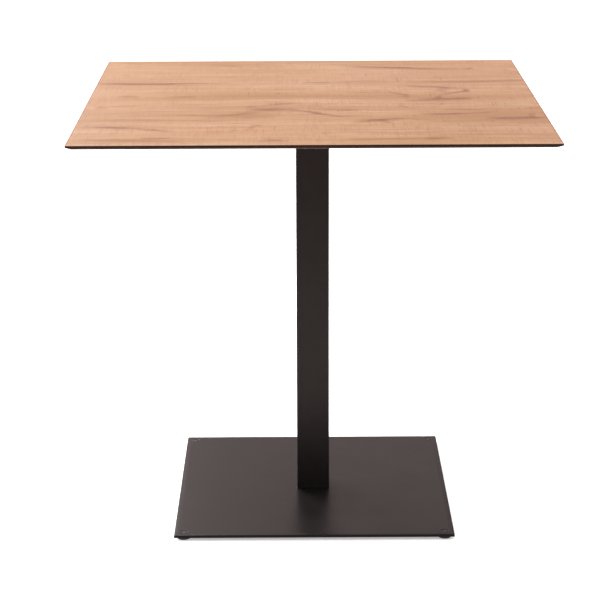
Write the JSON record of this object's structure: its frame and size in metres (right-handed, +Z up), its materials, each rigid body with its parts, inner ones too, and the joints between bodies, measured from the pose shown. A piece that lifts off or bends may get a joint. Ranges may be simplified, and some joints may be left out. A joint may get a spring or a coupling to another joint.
{
  "type": "bistro table",
  "caption": "Square bistro table with a thin wood-look laminate top, a square steel column and a flat steel base plate on levelling glides.",
  "frame": {"origin": "on the floor, under the middle of the column, with the glides screwed fully in", "axes": "+Z up, X and Y along the sides of the top, which runs its grain along X; the front faces -Y"},
  "size_m": [0.8, 0.8, 0.75],
  "materials": {
    "oak_laminate": "satin",
    "compact_core": "matte",
    "black_powder_coat": "satin",
    "zinc_steel": "satin",
    "black_steel": "satin",
    "brass": "satin",
    "black_nylon": "satin"
  },
  "bodies": {
    "table": {"tabletop_surface_laminate": "oak_laminate", "tabletop_core": "compact_core", "tabletop_backing_laminate": "oak_laminate", "top_bracket": "black_powder_coat", "column_tube": "black_powder_coat", "column_head_plate": "zinc_steel", "column_foot_plate": "zinc_steel", "base_plate": "black_powder_coat", "tabletop_insert_front_left": "brass", "tabletop_washer_front_left": "zinc_steel", "tabletop_screw_front_left": "zinc_steel", "bracket_bolt_front_left": "zinc_steel", "base_bolt_front_left": "zinc_steel", "glide_bush_front_left": "black_powder_coat", "tabletop_insert_front_right": "brass", "tabletop_washer_front_right": "zinc_steel", "tabletop_screw_front_right": "zinc_steel", "bracket_bolt_front_right": "zinc_steel", "base_bolt_front_right": "zinc_steel", "glide_bush_front_right": "black_powder_coat", "tabletop_insert_back_left": "brass", "tabletop_washer_back_left": "zinc_steel", "tabletop_screw_back_left": "zinc_steel", "bracket_bolt_back_left": "zinc_steel", "base_bolt_back_left": "zinc_steel", "glide_bush_back_left": "black_powder_coat", "tabletop_insert_back_right": "brass", "tabletop_washer_back_right": "zinc_steel", "tabletop_screw_back_right": "zinc_steel", "bracket_bolt_back_right": "zinc_steel", "base_bolt_back_right": "zinc_steel", "glide_bush_back_right": "black_powder_coat"},
    "pad_front_left": {"glide_pad_front_left": "black_nylon"},
    "stud_front_left": {"glide_stud_front_left": "black_steel"},
    "pad_front_right": {"glide_pad_front_right": "black_nylon"},
    "stud_front_right": {"glide_stud_front_right": "black_steel"},
    "pad_back_left": {"glide_pad_back_left": "black_nylon"},
    "stud_back_left": {"glide_stud_back_left": "black_steel"},
    "pad_back_right": {"glide_pad_back_right": "black_nylon"},
    "stud_back_right": {"glide_stud_back_right": "black_steel"}
  },
  "joints": [
    {"name": "glide_travel_front_left", "type": "slide", "parent": "table", "child": "pad_front_left", "axis": [0, 0, -1], "range_m": [0, 0.0025]},
    {"name": "glide_turn_front_left", "type": "hinge", "parent": "pad_front_left", "child": "stud_front_left", "pos_m": [-0.233, -0.233, 0.004], "axis": [0, 0, -1], "range_deg": [0, 720]},
    {"name": "glide_travel_front_right", "type": "slide", "parent": "table", "child": "pad_front_right", "axis": [0, 0, -1], "range_m": [0, 0.0025]},
    {"name": "glide_turn_front_right", "type": "hinge", "parent": "pad_front_right", "child": "stud_front_right", "pos_m": [0.233, -0.233, 0.004], "axis": [0, 0, -1], "range_deg": [0, 720]},
    {"name": "glide_travel_back_left", "type": "slide", "parent": "table", "child": "pad_back_left", "axis": [0, 0, -1], "range_m": [0, 0.0025]},
    {"name": "glide_turn_back_left", "type": "hinge", "parent": "pad_back_left", "child": "stud_back_left", "pos_m": [-0.233, 0.233, 0.004], "axis": [0, 0, -1], "range_deg": [0, 720]},
    {"name": "glide_travel_back_right", "type": "slide", "parent": "table", "child": "pad_back_right", "axis": [0, 0, -1], "range_m": [0, 0.0025]},
    {"name": "glide_turn_back_right", "type": "hinge", "parent": "pad_back_right", "child": "stud_back_right", "pos_m": [0.233, 0.233, 0.004], "axis": [0, 0, -1], "range_deg": [0, 720]}
  ],
  "couplings": [
    {"joint": "glide_travel_front_left", "follows": "glide_turn_front_left", "m_per_rad": 0.00019894},
    {"joint": "glide_travel_front_right", "follows": "glide_turn_front_right", "m_per_rad": 0.00019894},
    {"joint": "glide_travel_back_left", "follows": "glide_turn_back_left", "m_per_rad": 0.00019894},
    {"joint": "glide_travel_back_right", "follows": "glide_turn_back_right", "m_per_rad": 0.00019894}
  ]
}
